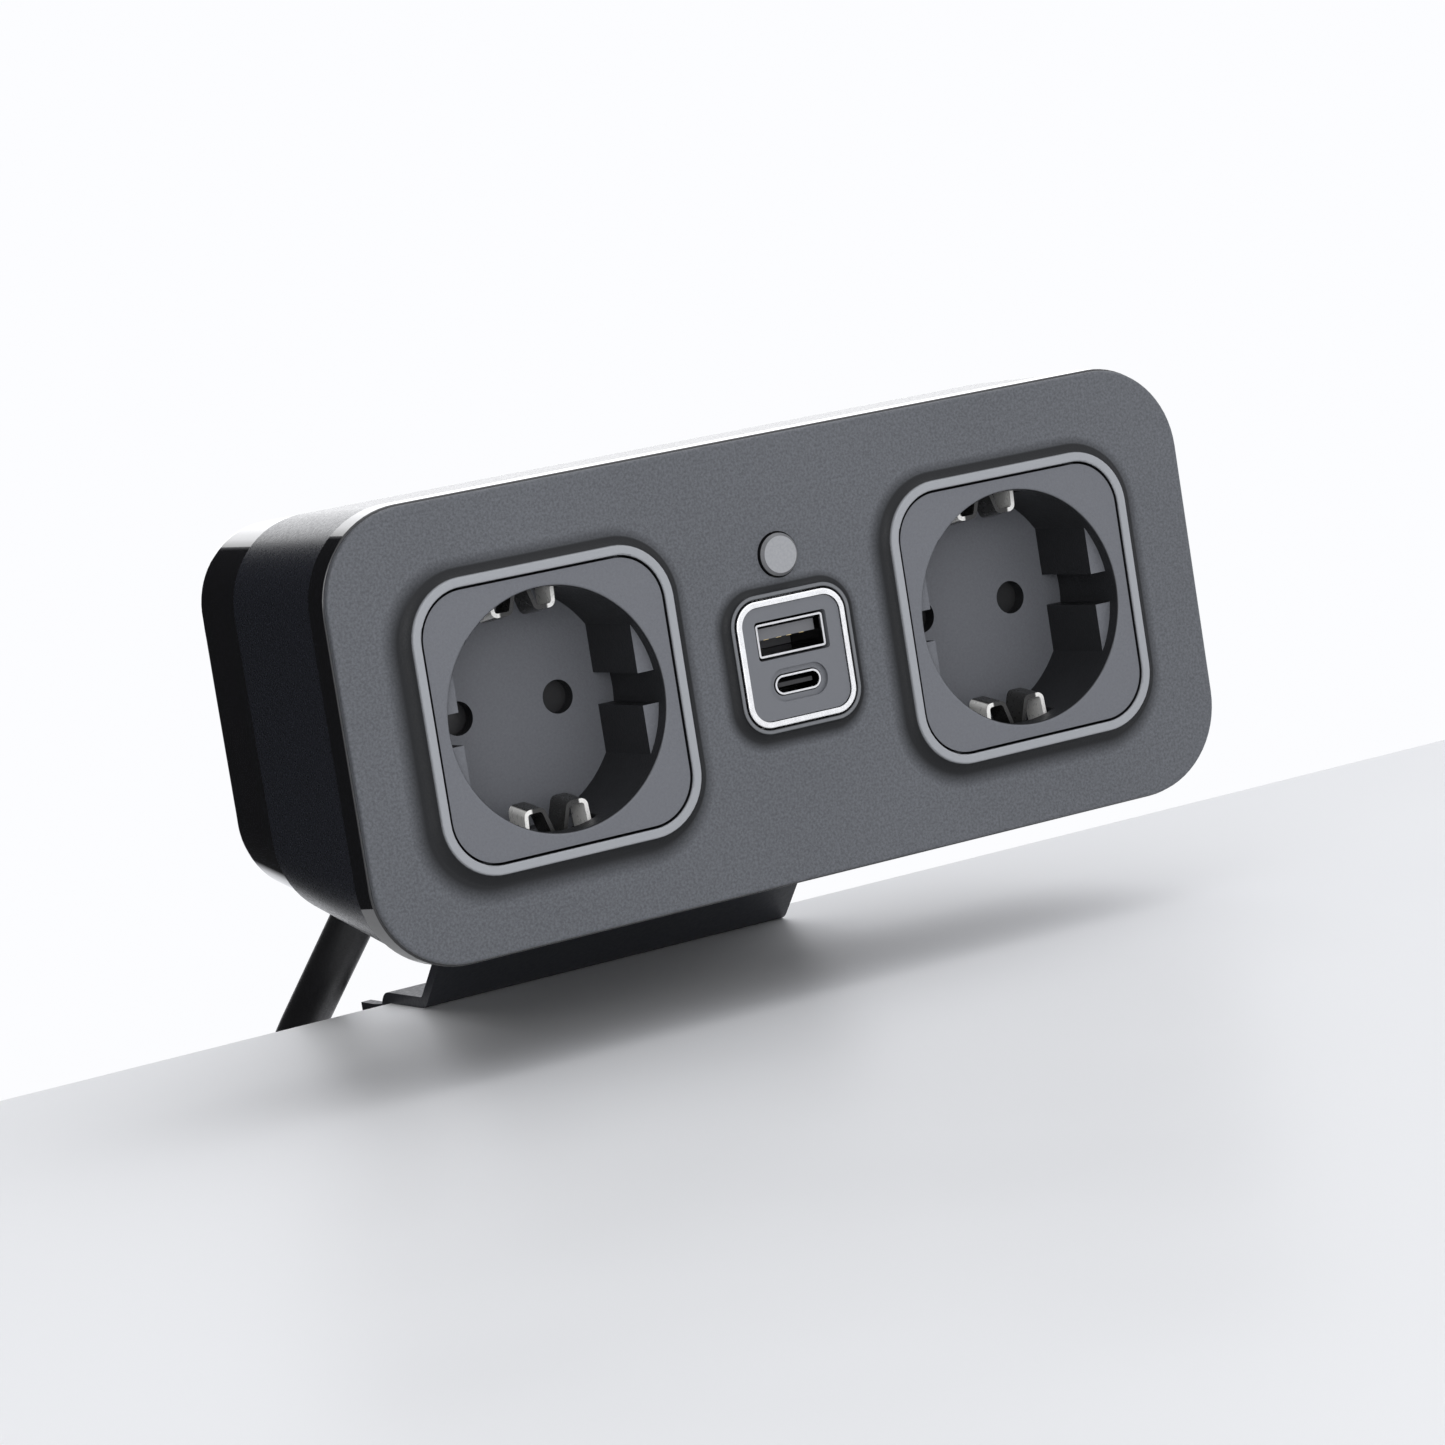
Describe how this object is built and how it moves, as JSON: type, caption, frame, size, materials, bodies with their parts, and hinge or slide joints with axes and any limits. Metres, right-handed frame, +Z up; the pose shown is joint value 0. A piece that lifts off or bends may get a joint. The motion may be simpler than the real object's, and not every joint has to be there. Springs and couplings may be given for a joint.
{
  "type": "charging hub",
  "caption": "Charging hub that clamps on a desk's edge, with earthed mains sockets, USB ports, a push button and a coiled mains cable.",
  "frame": {"origin": "middle of the bracket flange's underside, where it rests on the desk top at its rear edge", "axes": "+Z up, the panel with the sockets faces -Y, +X to the right as seen from the front"},
  "size_m": [0.1672, 0.1639, 0.3069],
  "materials": {
    "panel": "fine texture, anthracite",
    "gloss": "polished black",
    "housing": "satin black",
    "insert": "fine texture, dark grey",
    "clip": "nickel plated spring steel",
    "brass": "stamped",
    "ring": "bright silver",
    "usb_black": "satin black",
    "shell": "nickel plated",
    "tongue": "light grey",
    "contact": "gold flashed",
    "board": "green laminate",
    "coil_core": "yellow tape",
    "can": "plain",
    "button": "polished",
    "inner": "natural",
    "steel": "zinc plated",
    "bracket": "dark grey powder coat",
    "screw": "black oxide",
    "pad": "matt black",
    "cord": "matt black cable sheath",
    "plug": "moulded black",
    "tie": "black nylon"
  },
  "bodies": {
    "hub": {"bracket": "bracket", "bracket_screws": "screw", "button_guide": "usb_black", "button_spring": "steel", "cable_coil": "cord", "cable_tail": "cord", "cable_tie": "tie", "capacitors": "can", "case_screws": "steel", "clamp_screw_left": "screw", "clamp_screw_right": "screw", "clamp_washer_left": "steel", "clamp_washer_right": "steel", "earth_bar": "brass", "earth_clip_left": "clip", "earth_clip_right": "clip", "front_panel": "panel", "live_bar": "brass", "main_housing": "housing", "mains_cable": "cord", "neutral_bar": "brass", "pin_shutters_left": "usb_black", "pin_shutters_right": "usb_black", "plug_body": "plug", "plug_boot": "cord", "plug_earth_strips": "brass", "plug_pins": "shell", "push_switch": "usb_black", "rear_shell": "gloss", "socket_insert_left": "insert", "socket_insert_right": "insert", "strain_relief": "cord", "terminal_block": "inner", "transformer": "coil_core", "trim_band": "gloss", "usb_a_contacts": "contact", "usb_a_shell": "shell", "usb_a_tongue": "tongue", "usb_bezel": "ring", "usb_board": "board", "usb_c_blade": "usb_black", "usb_c_shell": "shell", "usb_case": "usb_black", "usb_face": "usb_black"},
    "button": {"button_cap": "button"},
    "jaw": {"lower_jaw": "bracket", "jaw_pad_left": "pad", "jaw_pad_right": "pad"}
  },
  "joints": [
    {"name": "button_press", "type": "slide", "parent": "hub", "child": "button", "axis": [0, 1, 0], "range_m": [0, 0.0009], "stiffness_N_per_m": 900, "springref_m": -0.0006},
    {"name": "jaw_slide", "type": "slide", "parent": "hub", "child": "jaw", "axis": [0, 0, 1], "range_m": [-0.018, 0.01]}
  ]
}
